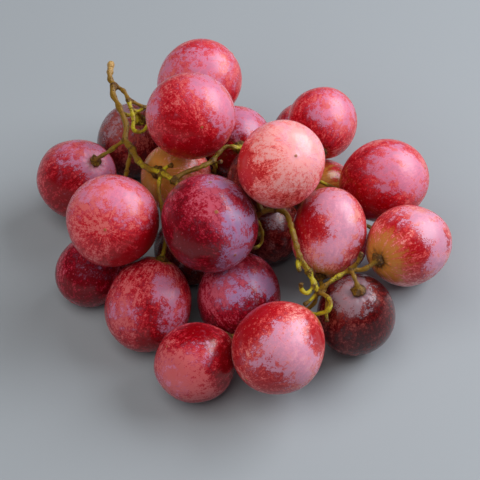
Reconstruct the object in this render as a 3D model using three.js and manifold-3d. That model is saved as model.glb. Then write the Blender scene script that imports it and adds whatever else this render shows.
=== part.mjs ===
// A bunch of red grapes lying on a flat surface, in millimetres, +Z up.
// Every berry is a separate solid, and the branched stem that they grew on is one solid.
// The bunch is seen from the front along +Y, with +X to the right.

import * as THREE from 'three';
import { mergeVertices } from 'three/addons/utils/BufferGeometryUtils.js';
import Module from 'manifold-3d';

const wasm = await Module();
wasm.setup();

// Driving dimensions.
const bunchMiddle = [-0.9, -10.6];   // middle of the bunch on the surface, in the layout's own x and y
const restSink = 0.6;                // how far a berry flattens under the weight of the bunch
const touchGap = 0.3;                // gap left between a berry and the pad of its pedicel
const berryColumns = 18;             // facets round a berry
const berryBands = 9;                // facets from its stem end to its far end
const stemSides = 6;
const stemStep = 3.2;                // length of one facet along a stem
const padLength = 1.5;               // the flared pad that a berry hangs from
const padFlare = 1.9;                // radius of the pad over the radius of the pedicel
const nodeSwell = 1.35;              // radius of a node over the radius of the stem there
const padShoulder = 0.4;             // share of the pad's length that is at its full radius
const padSocket = 0.8;               // share of the pad's length where the pedicel's end sits in it
const cutterSize = 60;               // sides of the block that cuts a berry flat
const cutterDepth = 20;
const mergeDistance = 1e-4;          // corners nearer than this are one corner

// Each berry: place [x, y, z], width, length, and the direction from its middle to its stem end.
// A place without a height is a berry that rests on the surface.
const berries = {
  crown_back: { place: [-12.4, 33.5, 35.7], width: 25.0, length: 26.5, stemEnd: [-0.75, -0.35, -0.55] },
  crown: { place: [-14.5, 2.2, 50.2], width: 25.0, length: 26.6, stemEnd: [-0.7, 0.56, -0.44] },
  left_side: { place: [-50.3, 12.1, 15.0], width: 23.8, length: 25.7, stemEnd: [0.5, -0.27, 0.82] },
  left_front: { place: [-36.4, -23.4, 32.9], width: 26.2, length: 27.8, stemEnd: [0.1, 0.82, -0.57] },
  centre_dark: { place: [-8.9, -27.7, 36.2], width: 27.0, length: 29.2, stemEnd: [-0.51, 0.86, -0.02] },
  centre_pink: { place: [11.3, -19.5, 51.5], width: 23.9, length: 26.3, stemEnd: [-0.45, 0.15, -0.88] },
  back_right: { place: [25.5, 23.4, 27.6], width: 20.7, length: 22.4, stemEnd: [-0.09, -0.98, -0.16] },
  right_back: { place: [43.1, 0.1, 25.5], width: 24.1, length: 26.5, stemEnd: [-0.85, 0.1, -0.5] },
  right_side: { place: [48.3, -27.5, 26.6], width: 22.9, length: 26.1, stemEnd: [-0.7, -0.67, 0.25] },
  right_middle: { place: [25.6, -25.4, 30.0], width: 21.0, length: 26.1, stemEnd: [-0.19, -0.84, -0.51] },
  right_front: { place: [33.4, -41.6], width: 22.0, length: 26.4, stemEnd: [0, -0.17, 0.98] },
  front_right: { place: [11.0, -59.3, 18.8], width: 24.9, length: 26.9, stemEnd: [0.67, 0.73, 0.13] },
  front_left: { place: [-12.3, -57.9], width: 22.4, length: 23.7, stemEnd: [0.75, 0.65, 0.1] },
  left_low: { place: [-26.6, -38.0], width: 24.7, length: 27.6, stemEnd: [0.28, 0.62, 0.73] },
  centre_low: { place: [-0.3, -33.9], width: 24.5, length: 27.0, stemEnd: [0, 0.99, 0.12] },
  left_under: { place: [-44.1, -21.6], width: 20.2, length: 21.9, stemEnd: [0.5, 0.75, 0.45] },
  back_left: { place: [-34.0, 31.5, 12.6], width: 22.7, length: 24.5, stemEnd: [0.21, -0.24, 0.95] },
  back_centre: { place: [-1.2, 13.7, 28.9], width: 21.3, length: 23.0, stemEnd: [0.1, -0.82, 0.57] },
  under_crown: { place: [-19.2, 1.1, 26.0], width: 21.0, length: 23.2, stemEnd: [-0.44, -0.53, 0.72] },
  centre_under: { place: [8.5, -5.1], width: 20.6, length: 22.7, stemEnd: [-0.31, -0.73, 0.61] },
  back_under: { place: [25.8, 11.4], width: 20.0, length: 21.6, stemEnd: [-0.5, -0.5, 0.7] },
  middle_under: { place: [-14.9, -14.2], width: 21.1, length: 22.8, stemEnd: [-0.33, 0.02, 0.94] },
  right_under: { place: [50.6, -12.9], width: 18.0, length: 19.2, stemEnd: [-0.75, 0, 0.66] },
  right_inner: { place: [28.7, -9.6], width: 20.0, length: 21.2, stemEnd: [-0.2, -0.1, 0.97] },
  back_low: { place: [20.7, 37.1], width: 20.4, length: 21.7, stemEnd: [-0.3, -0.75, 0.6] },
  inner_back: { place: [-14.4, 17.7], width: 20.1, length: 21.3, stemEnd: [0.6, -0.55, 0.6] },
  inner_core: { place: [7.2, 21.0], width: 20.0, length: 21.2, stemEnd: [0.4, -0.35, 0.85] },
  centre_inner: { place: [6.4, -6.5, 31.9], width: 20.1, length: 21.3, stemEnd: [-0.6, -0.7, -0.35] },
  back_base: { place: [-12.8, 40.1], width: 21.8, length: 23.1, stemEnd: [-0.55, -0.45, 0.7] },
};

// Places where stems meet, named so that the routes below share them.
const tipNode = [-38.2, 26.5, 40.5];
const upperNode = [-33.8, 20.7, 40];
const backNode = [-35.5, 15.5, 39];
const sideNode = [-34, 6, 37];
const frontNode = [-32, 2, 37];
const underNode = [-29.5, -4, 37.5];
const lowNode = [-23, -9.5, 38.5];
const leftNode = [-19.5, -12, 38];
const armNode = [-8.2, -2.4, 36];
const dipNode = [-8, -12, 28];
const deepNode = [0, -16, 27];
const riseNode = [4.5, -20, 31];
const pinkNode = [6.3, -21.2, 34];
const archNode = [10, -20, 34.5];
const rightNode = [22.2, -43.5, 24.5];
const forkNode = [31.2, -38.5, 28.3];

// The stems without a berry: the rachis, its side branches and the stubs that have lost their berry.
const branches = [
  { radius: 1.15, route: [[-39.5, 35, 42], [-39.5, 28.5, 41], tipNode] },
  { radius: 1.1, route: [tipNode, [-38.5, 23, 40], [-37, 19.5, 39.5], backNode] },
  { radius: 1.1, route: [backNode, [-34, 11, 38], sideNode, frontNode] },
  { radius: 1.1, route: [frontNode, underNode, [-26.5, -7.5, 38], lowNode, leftNode] },
  { radius: 1.05, route: [leftNode, [-14, -10, 33], dipNode, deepNode, riseNode, pinkNode, archNode] },
  { radius: 1.0, route: [archNode, [13, -22.5, 35], [15, -31, 36], [17, -37, 32], [19.2, -39.2, 29]] },
  { radius: 1.05, route: [[19.2, -39.2, 29], [21.2, -42.2, 26], rightNode] },
  { radius: 0.8, route: [tipNode, [-35.2, 23.7, 40.5], upperNode] },
  { radius: 0.9, route: [leftNode, [-16, -9, 38], [-11.7, -5.7, 37], armNode] },
  { radius: 0.9, route: [rightNode, [24.5, -42.5, 26.5], [27, -40.8, 27.3], forkNode] },
  { radius: 0.75, route: [forkNode, [33.3, -38, 31], [34.4, -37, 34]] },
  { radius: 0.8, route: [[21.2, -42.2, 26], [19, -44.5, 25], [17.5, -44.2, 26], [17.2, -43.2, 28]] },
  { radius: 0.65, route: [[24.8, -46, 25], [24.4, -48.2, 22], [24.6, -50, 19]] },
  { radius: 0.7, route: [rightNode, [20, -45.2, 23], [18, -46.7, 22.5]] },
  { radius: 0.65, route: [[17, -37, 32], [16.2, -38.3, 31], [17, -40.5, 29.5]] },
  { radius: 0.65, route: [riseNode, [6.5, -22, 26], [6, -24, 23.5], [3.5, -26.5, 24]] },
  { radius: 0.75, route: [lowNode, [-21, -8.5, 40], [-19.5, -9, 41]] },
  { radius: 0.65, route: [[-32.8, 17.3, 39], [-30.5, 17, 38.5], [-28.5, 18, 39.5]] },
  { radius: 0.65, route: [armNode, [-6.5, -3.2, 36.5], [-5.3, -3.8, 37.5]] },
];

// Each berry's pedicel: from where it leaves the stem up to the berry, where its pad is added.
const pedicels = {
  crown_back: { radius: 0.7, route: [upperNode, [-30, 19.5, 38.5], [-27.5, 22, 35], [-25.5, 26, 31]] },
  crown: {
    radius: 0.75,
    route: [upperNode, [-32.8, 17.3, 39], [-32, 14.5, 38], [-31.5, 9, 38], [-29, 8, 38.5], [-27, 10, 40]],
  },
  left_side: { radius: 0.8, route: [sideNode, [-36.3, 4.8, 36], [-39.4, 4.9, 33], [-42, 6, 30]] },
  left_front: { radius: 0.8, route: [frontNode, [-33.5, -2, 32], [-34.5, -7, 27]] },
  centre_dark: { radius: 0.85, route: [leftNode, [-18.2, -13, 37]] },
  centre_pink: { radius: 0.8, route: [pinkNode, [5.3, -19, 36]] },
  back_right: { radius: 0.85, route: [archNode, [15, -15, 33], [19, -10, 31], [22, -2, 28.5], [23, 4, 27]] },
  right_back: { radius: 0.75, route: [[22, -2, 28.5], [25.5, -0.5, 25], [29, 0.8, 21.3]] },
  right_side: { radius: 0.85, route: [forkNode, [35.2, -38.7, 28.8]] },
  right_middle: {
    radius: 0.8,
    route: [rightNode, [23.8, -43.6, 25], [24, -41.8, 24.3], [23.5, -39.8, 22.8]],
  },
  right_front: { radius: 0.85, route: [forkNode, [31.9, -41, 29.3], [32.5, -43, 28.8]] },
  front_right: { radius: 0.8, route: [rightNode, [24.8, -46, 25], [25.6, -47.8, 24.8], [24.8, -49.6, 23.5]] },
  front_left: {
    radius: 0.7,
    route: [rightNode, [21, -44, 20], [17, -44.6, 16.5], [11, -45.2, 15], [4, -48.6, 13.5]],
  },
  left_low: {
    radius: 0.8,
    route: [lowNode, [-23.6, -14, 36], [-22.8, -17.3, 33], [-22.2, -20.6, 29], [-21.5, -24.5, 26.5]],
  },
  centre_low: { radius: 0.7, route: [deepNode, [-1, -15.5, 20], [-0.8, -18, 15.5]] },
  left_under: { radius: 0.7, route: [[-33.5, -2, 32], [-35, -4.5, 23], [-36.5, -8.5, 18]] },
  back_left: { radius: 0.75, route: [backNode, [-33.5, 20, 34], [-31.5, 25.5, 30]] },
  back_centre: { radius: 0.85, route: [armNode, [-6.5, -0.5, 37.5], [-4, 1.5, 38.5], [-1, 1.5, 38]] },
  under_crown: { radius: 0.85, route: [underNode, [-26.5, -5.5, 36.5]] },
  centre_under: { radius: 0.75, route: [riseNode, [4.2, -19, 24], [4.5, -16, 20]] },
  back_under: { radius: 0.7, route: [[23, 4, 27], [21.5, 3.8, 22]] },
  middle_under: { radius: 0.7, route: [[-22.8, -17.3, 33], [-21.5, -16, 29], [-20, -14.5, 25]] },
  right_under: { radius: 0.7, route: [[24, -11, 27.5], [30, -12.5, 24], [37, -13, 20.5]] },
  right_inner: { radius: 0.75, route: [[19, -10, 31], [24, -11, 27.5], [26.2, -11, 24]] },
  back_low: {
    radius: 0.75,
    route: [[22, -2, 28.5], [17.5, 4, 25.5], [14, 12, 24], [13.5, 20, 22], [15.5, 26, 19]],
  },
  inner_back: {
    radius: 0.75,
    route: [armNode, [-7.3, 1, 31], [-7.8, 4.2, 25.5], [-7.6, 6.5, 22], [-7.2, 9, 19.3]],
  },
  inner_core: { radius: 0.7, route: [[14, 12, 24], [12.8, 15.5, 21.5]] },
  centre_inner: { radius: 0.75, route: [dipNode, [-3.5, -14.2, 28]] },
  back_base: { radius: 0.7, route: [[-25.5, 26, 31], [-24.5, 30, 26], [-22, 34, 22]] },
};

// Skin colour and roughness of each berry. Ripe berries of one bunch run from coral to near black.
const coral = 0xd9686a;
const red = 0xb8323f;
const crimson = 0x9c2338;
const plum = 0x7a2440;
const maroon = 0x56182a;
const skinColours = {
  crown_back: red, crown: red, left_side: crimson, left_front: red, centre_dark: plum, centre_pink: coral,
  back_right: red, right_back: red, right_side: coral, right_middle: coral, right_front: maroon,
  front_right: coral, front_left: crimson, left_low: crimson, centre_low: plum, left_under: plum,
  back_left: maroon, back_centre: crimson, under_crown: coral, centre_under: maroon, back_under: crimson,
  middle_under: maroon, right_under: crimson, right_inner: plum, back_low: crimson, inner_back: maroon,
  inner_core: plum, centre_inner: maroon, back_base: crimson,
};
const skinRoughness = 0.38;
const stemColour = 0x8a7a2c;
const stemRoughness = 0.7;

const up = new THREE.Vector3(0, 1, 0);

// Turns a closed geometry into a solid that can be cut and joined.
function toSolid(geometry) {
  const bare = geometry.clone();
  bare.deleteAttribute('normal');
  bare.deleteAttribute('uv');
  const merged = mergeVertices(bare, mergeDistance);
  return new wasm.Manifold(new wasm.Mesh({
    numProp: 3,
    vertProperties: new Float32Array(merged.attributes.position.array),
    triVerts: new Uint32Array(merged.index.array),
  }));
}

function toGeometry(solid) {
  const mesh = solid.getMesh();
  const geometry = new THREE.BufferGeometry();
  geometry.setAttribute('position', new THREE.BufferAttribute(mesh.vertProperties, 3));
  geometry.setIndex(new THREE.BufferAttribute(mesh.triVerts, 1));
  geometry.computeVertexNormals();
  return geometry;
}

// Turns +Y of a geometry to a direction and moves its origin to a place.
function placed(geometry, direction, place) {
  const turn = new THREE.Quaternion().setFromUnitVectors(up, direction);
  return geometry.applyQuaternion(turn).translate(place.x, place.y, place.z);
}

// Middle of a berry. One that rests has its lowest point restSink below the surface, where it is cut flat.
function berryMiddle({ place, width, length, stemEnd }) {
  const steepness = new THREE.Vector3(...stemEnd).normalize().z;
  const halfWidth = width / 2;
  const halfHeight = Math.hypot(halfWidth, Math.sqrt((length / 2) ** 2 - halfWidth ** 2) * steepness);
  return new THREE.Vector3(place[0], place[1], place[2] ?? halfHeight - restSink);
}

// A berry is an ellipse turned about its long axis.
function berryGeometry(berry) {
  const profile = [];
  for (let band = 0; band <= berryBands; band += 1) {
    const angle = (band / berryBands) * Math.PI;
    const onAxis = band === 0 || band === berryBands;
    const radius = onAxis ? 0 : (berry.width / 2) * Math.sin(angle);
    profile.push(new THREE.Vector2(radius, (-berry.length / 2) * Math.cos(angle)));
  }
  const direction = new THREE.Vector3(...berry.stemEnd).normalize();
  const whole = placed(new THREE.LatheGeometry(profile, berryColumns), direction, berryMiddle(berry));
  if (berry.place.length === 3) return whole;
  const [x, y] = berry.place;
  const table = new THREE.BoxGeometry(cutterSize, cutterSize, cutterDepth).translate(x, y, -cutterDepth / 2);
  return toGeometry(toSolid(whole).subtract(toSolid(table)));
}

function stemSection(radius) {
  const shape = new THREE.Shape();
  for (let side = 0; side < stemSides; side += 1) {
    const angle = (side / stemSides) * 2 * Math.PI;
    const x = radius * Math.cos(angle);
    const y = radius * Math.sin(angle);
    if (side === 0) shape.moveTo(x, y);
    else shape.lineTo(x, y);
  }
  shape.closePath();
  return shape;
}

// A round stem of one radius along a smooth curve through the route's points.
function stemTube(points, radius) {
  const curve = new THREE.CatmullRomCurve3(points, false, 'centripetal');
  const steps = Math.max(2, Math.ceil(curve.getLength() / stemStep));
  const options = { steps, extrudePath: curve, bevelEnabled: false, curveSegments: 1 };
  return new THREE.ExtrudeGeometry(stemSection(radius), options);
}

// The flared pad at the end of a pedicel, with its flat face towards the berry.
function padGeometry(radius) {
  const face = radius * padFlare;
  const profile = [[0, padLength], [radius, padLength], [face, padLength * padShoulder], [face, 0], [0, 0]];
  const points = profile.map(([across, along]) => new THREE.Vector2(across, along));
  return new THREE.LatheGeometry(points.reverse(), stemSides);
}

// All stems joined into one solid: tubes, a swelling at the start of each, and a pad for each berry.
function stemGeometry() {
  const pieces = [];
  const addStem = (points, radius) => {
    pieces.push(stemTube(points, radius));
    const swelling = new THREE.IcosahedronGeometry(radius * nodeSwell, 0);
    pieces.push(swelling.translate(points[0].x, points[0].y, points[0].z));
  };
  for (const { radius, route } of branches) {
    addStem(route.map((point) => new THREE.Vector3(...point)), radius);
  }
  for (const [name, { radius, route }] of Object.entries(pedicels)) {
    const berry = berries[name];
    const direction = new THREE.Vector3(...berry.stemEnd).normalize();
    const padFace = berryMiddle(berry).addScaledVector(direction, berry.length / 2 + touchGap);
    const padBack = padFace.clone().addScaledVector(direction, padLength * padSocket);
    addStem([...route.map((point) => new THREE.Vector3(...point)), padBack], radius);
    pieces.push(placed(padGeometry(radius), direction, padFace));
  }
  return toGeometry(pieces.map(toSolid).reduce((joined, piece) => joined.add(piece)));
}

const group = new THREE.Group();
group.position.set(-bunchMiddle[0], -bunchMiddle[1], 0);

function addPart(name, geometry, color, roughness) {
  const mesh = new THREE.Mesh(geometry, new THREE.MeshStandardMaterial({ color, roughness, metalness: 0 }));
  mesh.name = name;
  group.add(mesh);
}

addPart('stem', stemGeometry(), stemColour, stemRoughness);
for (const [name, berry] of Object.entries(berries)) {
  addPart(`berry_${name}`, berryGeometry(berry), skinColours[name], skinRoughness);
}

export default group;
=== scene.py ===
import math
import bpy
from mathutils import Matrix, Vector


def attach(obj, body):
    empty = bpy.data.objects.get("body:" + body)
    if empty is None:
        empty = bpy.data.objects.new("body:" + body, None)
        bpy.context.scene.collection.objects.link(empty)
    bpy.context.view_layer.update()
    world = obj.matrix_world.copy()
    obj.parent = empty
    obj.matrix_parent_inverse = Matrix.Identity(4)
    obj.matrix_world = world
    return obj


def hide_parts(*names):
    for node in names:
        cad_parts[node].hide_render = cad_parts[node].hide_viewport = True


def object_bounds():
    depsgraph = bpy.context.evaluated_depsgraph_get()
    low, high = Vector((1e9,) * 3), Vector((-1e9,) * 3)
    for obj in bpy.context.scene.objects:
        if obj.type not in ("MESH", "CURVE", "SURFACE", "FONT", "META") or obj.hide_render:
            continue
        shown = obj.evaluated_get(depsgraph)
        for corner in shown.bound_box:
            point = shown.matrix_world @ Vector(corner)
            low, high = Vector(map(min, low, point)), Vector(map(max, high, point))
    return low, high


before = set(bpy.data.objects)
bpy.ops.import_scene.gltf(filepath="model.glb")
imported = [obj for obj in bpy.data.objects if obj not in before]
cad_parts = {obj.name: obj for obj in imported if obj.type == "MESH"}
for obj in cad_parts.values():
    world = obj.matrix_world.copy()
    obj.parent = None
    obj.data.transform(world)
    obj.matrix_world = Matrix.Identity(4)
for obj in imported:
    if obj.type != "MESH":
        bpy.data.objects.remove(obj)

import zlib
from collections import namedtuple

import bpy
import numpy as np
from mathutils import Vector
from mathutils.kdtree import KDTree

cad_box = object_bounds()


# ---------------------------------------------------------------------------------------------
# Berries. Each is one grown fruit with a thin waxy skin, juicy and slightly clear inside. It swelled
# on its pedicel until it met its neighbours and the surface below, and it is a little flat where it
# touches them. The stem end is drawn in under the pad, and the far end keeps the flower's scar.

MM = 0.001              # the frame is in metres
GRID_ROWS = 97          # rows of points from the stem end to the scar, with the two poles
GRID_COLUMNS = 128      # points in a row
GRID_CROWDING = 0.09    # how much nearer to each other the rows are at both ends
SWELL = 0.2 * MM        # how far a berry fills the gap that the frame leaves round it
PRESS_RANGE = 1.0 * MM  # two berries nearer than this press on each other
PRESS_GAP = 0.01 * MM   # half of what is left between two pressed skins
NARROWING = 0.035       # how strongly a berry narrows towards its stem end
WAVE_COUNT = 6          # slow random waves in a berry's shape
WAVE_HEIGHT = 0.10      # mm
PUCKER_COUNT = 11       # folds round the pit

# Rings round an end of a berry: height in mm, and the middle and width in degrees from that end.
PIT = (-0.9, 0, 10)             # where the pad of the pedicel sits
PIT_RIM = (0.16, 20, 7)
PUCKERS = (0.07, 14, 6)
SCAR_KNOT = (0.14, 0, 2.2)
SCAR_HOLLOW = (-0.10, 6, 4)

# The same for colour, with how strong it is in place of the height.
SCAR_PALE = (0.45, 5, 5)        # paler skin round the scar
SCAR_SPECK = (1.0, 0, 2.6)      # the scar itself
CRACKS = (1.0, 8, 12)           # cracks round the pad

# Directions as someone in front of the bunch sees them, looking down at it.
VIEW_TILT = math.radians(46.5)
TO_RIGHT = np.array([1.0, 0.0, 0.0])
TO_TOP = np.array([0.0, math.sin(VIEW_TILT), math.cos(VIEW_TILT)])
TO_VIEWER = np.array([0.0, -math.cos(VIEW_TILT), math.sin(VIEW_TILT)])

Berry = namedtuple("Berry", ["middle", "half_width", "half_length", "axis"])


def seen(right, top):
    """The direction from a berry's middle to the skin seen that far right and up, in berry radii.

    Towards the viewer it is sqrt(1 - right^2 - top^2)."""
    near = math.sqrt(max(0.0, 1.0 - right * right - top * top))
    return right * TO_RIGHT + top * TO_TOP + near * TO_VIEWER


def node_points(node):
    """The corners of a frame node's mesh, one row for each, in metres."""
    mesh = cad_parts[node].data
    points = np.zeros(len(mesh.vertices) * 3)
    mesh.vertices.foreach_get("co", points)
    return points.reshape(-1, 3)


def nearest_distance(points, place):
    """Distance from a place to the nearest of the points."""
    return np.linalg.norm(points - place, axis=1).min()


def berry_axes(node, stem_points):
    """Middle, half width, half length and stem direction of a berry in the frame.

    The corners above the flat patch fit x'Ax + b'x = 1, solved by least squares. Its middle is
    -A^-1 b / 2, and the eigenvectors of A are the axes. The stem end is the pole nearer the stem."""
    points = node_points(node)
    start = points.mean(axis=0)
    above_flat = points[:, 2] > 0.3 * MM
    x, y, z = ((points[above_flat] - start) / MM).T
    terms = np.stack([x * x, y * y, z * z, 2 * x * y, 2 * x * z, 2 * y * z, x, y, z], axis=1)
    c = np.linalg.lstsq(terms, np.ones(len(x)), rcond=None)[0]
    matrix = np.array([[c[0], c[3], c[4]], [c[3], c[1], c[5]], [c[4], c[5], c[2]]])
    middle = -0.5 * np.linalg.solve(matrix, c[6:9])
    scale = 1 + middle @ matrix @ middle
    values, vectors = np.linalg.eigh(matrix / scale)
    half = 1 / np.sqrt(values) * MM
    middle = start + middle * MM
    axis = vectors[:, 0]
    pole = axis * half[0]
    if nearest_distance(stem_points, middle - pole) < nearest_distance(stem_points, middle + pole):
        axis = -axis
    return Berry(middle, 0.5 * (half[1] + half[2]), half[0], axis)


def reach(berry, direction):
    """Distance from a berry's middle to its skin along a direction.

    It is 1 / sqrt(sin^2 / half_width^2 + cos^2 / half_length^2) of the angle from the axis."""
    cosine = direction @ berry.axis
    return 1 / np.sqrt((1 - cosine**2) / berry.half_width**2 + cosine**2 / berry.half_length**2)


def angle_to(outward, direction):
    """The angle between each outward direction and one direction, by the arc cosine of their product."""
    return np.arccos(np.clip(outward @ direction, -1, 1))


def bump(angle, height, middle, width):
    """A smooth ring round a pole: height * exp(-((angle - middle) / width)^2).

    The angles are in radians, and middle and width in degrees."""
    return height * np.exp(-(((angle - math.radians(middle)) / math.radians(width)) ** 2))


def frame_round(axis):
    """Two directions at right angles to each other and to an axis, by cross products."""
    side = np.cross(axis, [0.3, 0.5, 0.8])
    side /= np.linalg.norm(side)
    return side, np.cross(axis, side)


def grid_faces(rows, columns):
    """Quads between rings of points, and a fan of triangles round the pole at each end."""
    ring = np.arange(columns)
    after = (ring + 1) % columns
    starts = 1 + columns * np.arange(rows - 3)[:, None]
    below = starts + columns
    quads = np.stack([starts + ring, below + ring, below + after, starts + after], axis=-1)
    last = 1 + columns * (rows - 2)
    top = np.stack([np.zeros(columns, int), 1 + ring, 1 + after], axis=-1)
    bottom = np.stack([last - columns + ring, np.full(columns, last), last - columns + after], axis=-1)
    return quads.reshape(-1, 4).tolist() + top.tolist() + bottom.tolist()


def ball_grid():
    """A ball of radius 1: its points, and each point's angle t from the stem end and p round the axis.

    A point is (sin t cos p, sin t sin p, cos t). The rows are at t = pi (u - crowding sin 2 pi u) for
    even steps of u from 0 to 1, and the two poles are single points."""
    u = np.linspace(0, 1, GRID_ROWS)[1:-1]
    rows = math.pi * (u - GRID_CROWDING * np.sin(2 * math.pi * u))
    columns = 2 * math.pi * np.arange(GRID_COLUMNS) / GRID_COLUMNS
    t, p = np.meshgrid(rows, columns, indexing="ij")
    rings = np.stack([np.sin(t) * np.cos(p), np.sin(t) * np.sin(p), np.cos(t)], axis=-1)
    ball = np.concatenate([[[0, 0, 1]], rings.reshape(-1, 3), [[0, 0, -1]]])
    return ball, np.concatenate([[0], t.ravel(), [math.pi]]), np.concatenate([[0], p.ravel(), [0]])


BALL, FROM_STEM, ROUND_AXIS = ball_grid()
BERRY_FACES = grid_faces(GRID_ROWS, GRID_COLUMNS)


def berry_skin(name, berry, neighbours, scar):
    """Points of a berry's skin, and their directions from its middle, on the ball's grid.

    The skin is middle + R * outward, where R is the ellipsoid's reach less NARROWING * half_width *
    sin^2 t cos t, with a few slow random waves, a pit under the pad, faint puckers round it and a knot
    at the scar. Then each point is pushed back behind the planes halfway to the neighbours, and above
    z = 0."""
    rng = np.random.default_rng(zlib.crc32(name.encode()))
    outward = BALL @ np.stack([*frame_round(berry.axis), berry.axis])
    size = reach(berry, outward) + SWELL
    size -= NARROWING * berry.half_width * np.sin(FROM_STEM) ** 2 * np.cos(FROM_STEM)
    for _ in range(WAVE_COUNT):
        wave = rng.normal(size=3)
        phase = BALL @ wave * rng.uniform(1.2, 3.2) + rng.uniform(0, 2 * math.pi)
        size += WAVE_HEIGHT * MM * np.cos(phase)
    size += MM * (bump(FROM_STEM, *PIT) + bump(FROM_STEM, *PIT_RIM))
    size += MM * np.cos(PUCKER_COUNT * ROUND_AXIS + rng.uniform(0, 6)) * bump(FROM_STEM, *PUCKERS)
    from_scar = angle_to(outward, scar)
    size += MM * (bump(from_scar, *SCAR_KNOT) + bump(from_scar, *SCAR_HOLLOW))
    points = berry.middle + outward * size[:, None]
    for normal, distance in neighbours:
        beyond = np.maximum(0, (points - berry.middle) @ normal - distance)
        points -= beyond[:, None] * normal
    points[:, 2] = np.maximum(points[:, 2], 0)
    return points, outward


def patch(outward, right, top, degrees, strength):
    """A soft round patch on the skin seen right and up: strength * exp(-(angle / degrees)^3)."""
    angle = angle_to(outward, seen(right, top))
    return strength * np.exp(-((angle / math.radians(degrees)) ** 3))


def cover(outward, patches):
    """The sum of a list of patches (right, top, degrees, strength) over the skin."""
    values = np.zeros(len(outward))
    for one in patches:
        values += patch(outward, *one)
    return values


# Patches on the side of a berry that is turned away from the front, and their widths in radians.
HIDDEN_PATCHES = 5
HIDDEN_NARROWEST = 0.35
HIDDEN_WIDEST = 0.8


def hidden_side(outward, name, strength):
    """The sum of patches strength * exp(-(angle / width)^2) at seeded random places.

    It fades out towards the front with the square root of 0.3 less how far the skin faces front."""
    rng = np.random.default_rng(zlib.crc32(name.encode()))
    values = np.zeros(len(outward))
    for _ in range(HIDDEN_PATCHES):
        middle = rng.normal(size=3) - 0.8 * TO_VIEWER
        angle = angle_to(outward, middle / np.linalg.norm(middle))
        width = rng.uniform(HIDDEN_NARROWEST, HIDDEN_WIDEST)
        values += strength * np.exp(-((angle / width) ** 2))
    return values * np.clip(0.3 - outward @ TO_VIEWER, 0, 1) ** 0.5


def add_values(mesh, name, values, kind="FLOAT"):
    """Keeps a number or a vector for each point of a mesh, for its material to read."""
    attribute = mesh.attributes.new(name, kind, "POINT")
    field = "value" if kind == "FLOAT" else "vector"
    attribute.data.foreach_set(field, np.asarray(values, np.float32).ravel())


# Skin colours, from the palest part of a berry's skin to its deepest, and its bloom, a waxy powder. The
# deepest colour also serves as painted shade on the undersides, and the bloom colour as the painted sheen
# of the window on the upper right.
SKINS = {
    "coral": {"pale": (0.98, 0.40, 0.39), "ripe": (0.94, 0.165, 0.150), "deep": (0.62, 0.018, 0.022),
              "bloom": (0.88, 0.48, 0.60), "slot": "skin_coral"},
    "pink": {"pale": (0.76, 0.27, 0.25), "ripe": (0.62, 0.060, 0.064), "deep": (0.40, 0.004, 0.009),
             "bloom": (0.77, 0.46, 0.66), "slot": "skin_coral"},
    "red": {"pale": (0.72, 0.15, 0.15), "ripe": (0.60, 0.016, 0.030), "deep": (0.37, 0.0, 0.004),
            "bloom": (0.75, 0.34, 0.54), "slot": "skin_red"},
    "crimson": {"pale": (0.62, 0.12, 0.13), "ripe": (0.47, 0.010, 0.022), "deep": (0.24, 0.0, 0.003),
                "bloom": (0.68, 0.32, 0.53), "slot": "skin_crimson"},
    "plum": {"pale": (0.54, 0.09, 0.14), "ripe": (0.36, 0.006, 0.022), "deep": (0.16, 0.0, 0.004),
             "bloom": (0.52, 0.36, 0.66), "slot": "skin_plum"},
    "maroon": {"pale": (0.29, 0.05, 0.040), "ripe": (0.13, 0.004, 0.005), "deep": (0.05, 0.0, 0.0),
               "bloom": (0.46, 0.32, 0.38), "slot": "skin_maroon"},
}
TONES = ("pale", "ripe", "deep", "bloom")
TAN = (0.50, 0.19, 0.035, 1)        # unripe skin round the pedicel
CRACK = (0.16, 0.06, 0.012, 1)
SPECK = (0.33, 0.12, 0.035, 1)      # a dry speck, and the scar
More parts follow.
